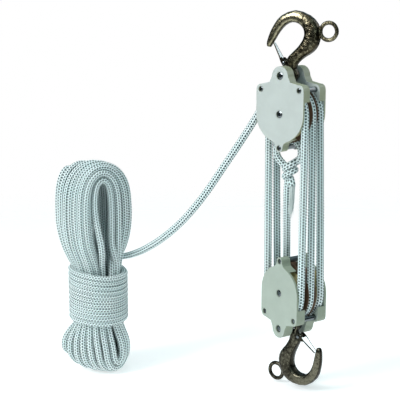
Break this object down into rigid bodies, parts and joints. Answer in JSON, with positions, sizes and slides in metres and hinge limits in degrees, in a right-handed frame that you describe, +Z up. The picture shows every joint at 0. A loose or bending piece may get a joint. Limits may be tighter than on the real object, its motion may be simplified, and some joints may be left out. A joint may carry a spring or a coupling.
{
  "type": "rope block and tackle hoist",
  "caption": "Rope hoist with two moulded pulley blocks, rotating sheaves, snap hooks, braided rope falls and a hank of spare rope.",
  "frame": {"origin": "bearing point of the upper hook, inside its bowl, where the hoist hangs", "axes": "+Z up along the rope falls; +Y from the front case of the upper block to its rear case, along its axle; +X to the right of that block"},
  "size_m": [0.2967, 0.169, 0.4259],
  "materials": {
    "case_nylon": "satin pale mint nylon",
    "sheave_nylon": "satin ivory nylon",
    "brown_nylon": "dark brown moulded nylon",
    "hook_bronze": "forged, dark bronze plated",
    "rivet_steel": "bright zinc plated",
    "latch_steel": "bright pressed strip",
    "spring_steel": "spring wire",
    "rope_braid": "white braided polyester"
  },
  "bodies": {
    "upper_hook": {"upper_hook": "hook_bronze", "upper_latch_pin": "rivet_steel", "upper_latch_spring": "spring_steel", "rope_lead": "rope_braid", "rope_hank": "rope_braid"},
    "upper_latch": {"upper_latch": "latch_steel"},
    "upper_block": {"upper_front_case": "case_nylon", "upper_rear_case": "case_nylon", "upper_axle_sleeve": "rivet_steel", "upper_axle_pin": "rivet_steel", "upper_left_tie_rivet": "rivet_steel", "upper_right_tie_rivet": "rivet_steel", "upper_tab_tie_rivet": "rivet_steel", "upper_left_spacer": "rivet_steel", "upper_right_spacer": "rivet_steel", "upper_tab_spacer": "rivet_steel", "upper_hook_pin": "rivet_steel", "upper_front_pin_sleeve": "rivet_steel", "upper_rear_pin_sleeve": "rivet_steel", "rope_arc_upper_front": "rope_braid", "rope_arc_upper_middle": "rope_braid", "rope_arc_upper_rear": "rope_braid", "rope_fall_1": "rope_braid", "rope_fall_2": "rope_braid", "rope_fall_3": "rope_braid", "rope_fall_4": "rope_braid", "rope_fall_5": "rope_braid", "rope_fall_6_becket": "rope_braid", "becket_knot": "rope_braid"},
    "upper_front_sheave": {"upper_front_sheave": "sheave_nylon"},
    "upper_middle_sheave": {"upper_middle_sheave": "brown_nylon"},
    "upper_rear_sheave": {"upper_rear_sheave": "sheave_nylon"},
    "lower_block": {"lower_front_case": "case_nylon", "lower_rear_case": "case_nylon", "lower_axle_sleeve": "rivet_steel", "lower_axle_pin": "rivet_steel", "lower_left_tie_rivet": "rivet_steel", "lower_right_tie_rivet": "rivet_steel", "lower_tab_tie_rivet": "rivet_steel", "lower_left_spacer": "rivet_steel", "lower_right_spacer": "rivet_steel", "lower_tab_spacer": "rivet_steel", "lower_hook_pin": "rivet_steel", "lower_front_pin_sleeve": "rivet_steel", "lower_rear_pin_sleeve": "rivet_steel", "rope_arc_lower_front": "rope_braid", "rope_arc_lower_middle": "rope_braid", "rope_arc_lower_rear": "rope_braid"},
    "lower_front_sheave": {"lower_front_sheave": "sheave_nylon"},
    "lower_middle_sheave": {"lower_middle_sheave": "brown_nylon"},
    "lower_rear_sheave": {"lower_rear_sheave": "sheave_nylon"},
    "lower_hook": {"lower_hook": "hook_bronze", "lower_latch_pin": "rivet_steel", "lower_latch_spring": "spring_steel"},
    "lower_latch": {"lower_latch": "latch_steel"}
  },
  "joints": [
    {"name": "upper_latch_hinge", "type": "hinge", "parent": "upper_hook", "child": "upper_latch", "pos_m": [-0.00665, -0.00141, -0.0446], "axis": [-0.2079, 0.9781, 0], "range_deg": [0, 62], "stiffness_Nm_per_rad": 0.02, "springref_deg": -68.75, "deforming": ["upper_latch_spring"]},
    {"name": "upper_swing", "type": "hinge", "parent": "upper_hook", "child": "upper_block", "pos_m": [0, 0, -0.0575], "axis": [0, 1, 0], "range_deg": [-30, 30], "deforming": ["rope_lead"]},
    {"name": "lift", "type": "slide", "parent": "upper_block", "child": "lower_block", "axis": [0, 0, 1], "range_m": [0, 0.04], "deforming": ["rope_fall_1", "rope_fall_2", "rope_fall_3", "rope_fall_4", "rope_fall_5", "rope_fall_6_becket"]},
    {"name": "upper_front_sheave_spin", "type": "hinge", "parent": "upper_block", "child": "upper_front_sheave", "pos_m": [0, 0, -0.0989], "axis": [0, -1, 0], "range_deg": [-20, 500]},
    {"name": "upper_middle_sheave_spin", "type": "hinge", "parent": "upper_block", "child": "upper_middle_sheave", "pos_m": [0, 0, -0.0989], "axis": [0, -1, 0], "range_deg": [-20, 500]},
    {"name": "upper_rear_sheave_spin", "type": "hinge", "parent": "upper_block", "child": "upper_rear_sheave", "pos_m": [0, 0, -0.0989], "axis": [0, -1, 0], "range_deg": [-20, 500]},
    {"name": "lower_front_sheave_spin", "type": "hinge", "parent": "lower_block", "child": "lower_front_sheave", "pos_m": [0.005, 0.0042, -0.2999], "axis": [-0.2588, -0.9659, 0], "range_deg": [-20, 420]},
    {"name": "lower_middle_sheave_spin", "type": "hinge", "parent": "lower_block", "child": "lower_middle_sheave", "pos_m": [0.005, 0.0042, -0.2999], "axis": [-0.2588, -0.9659, 0], "range_deg": [-20, 420]},
    {"name": "lower_rear_sheave_spin", "type": "hinge", "parent": "lower_block", "child": "lower_rear_sheave", "pos_m": [0.005, 0.0042, -0.2999], "axis": [-0.2588, -0.9659, 0], "range_deg": [-20, 420]},
    {"name": "lower_swing", "type": "hinge", "parent": "lower_block", "child": "lower_hook", "pos_m": [0.005, 0.0042, -0.3413], "axis": [0.2588, 0.9659, 0], "range_deg": [-50, 85]},
    {"name": "lower_latch_hinge", "type": "hinge", "parent": "lower_hook", "child": "lower_latch", "pos_m": [0.01597, 0.00401, -0.35091], "axis": [0.0175, 0.9998, 0], "range_deg": [0, 62], "stiffness_Nm_per_rad": 0.02, "springref_deg": -68.75, "deforming": ["lower_latch_spring"]}
  ],
  "couplings": [
    {"joint": "lower_rear_sheave_spin", "follows": "lift", "rad_per_m": 34.843},
    {"joint": "upper_rear_sheave_spin", "follows": "lift", "rad_per_m": 69.686},
    {"joint": "lower_middle_sheave_spin", "follows": "lift", "rad_per_m": 104.53},
    {"joint": "upper_middle_sheave_spin", "follows": "lift", "rad_per_m": 139.37},
    {"joint": "lower_front_sheave_spin", "follows": "lift", "rad_per_m": 174.22},
    {"joint": "upper_front_sheave_spin", "follows": "lift", "rad_per_m": 209.06}
  ]
}
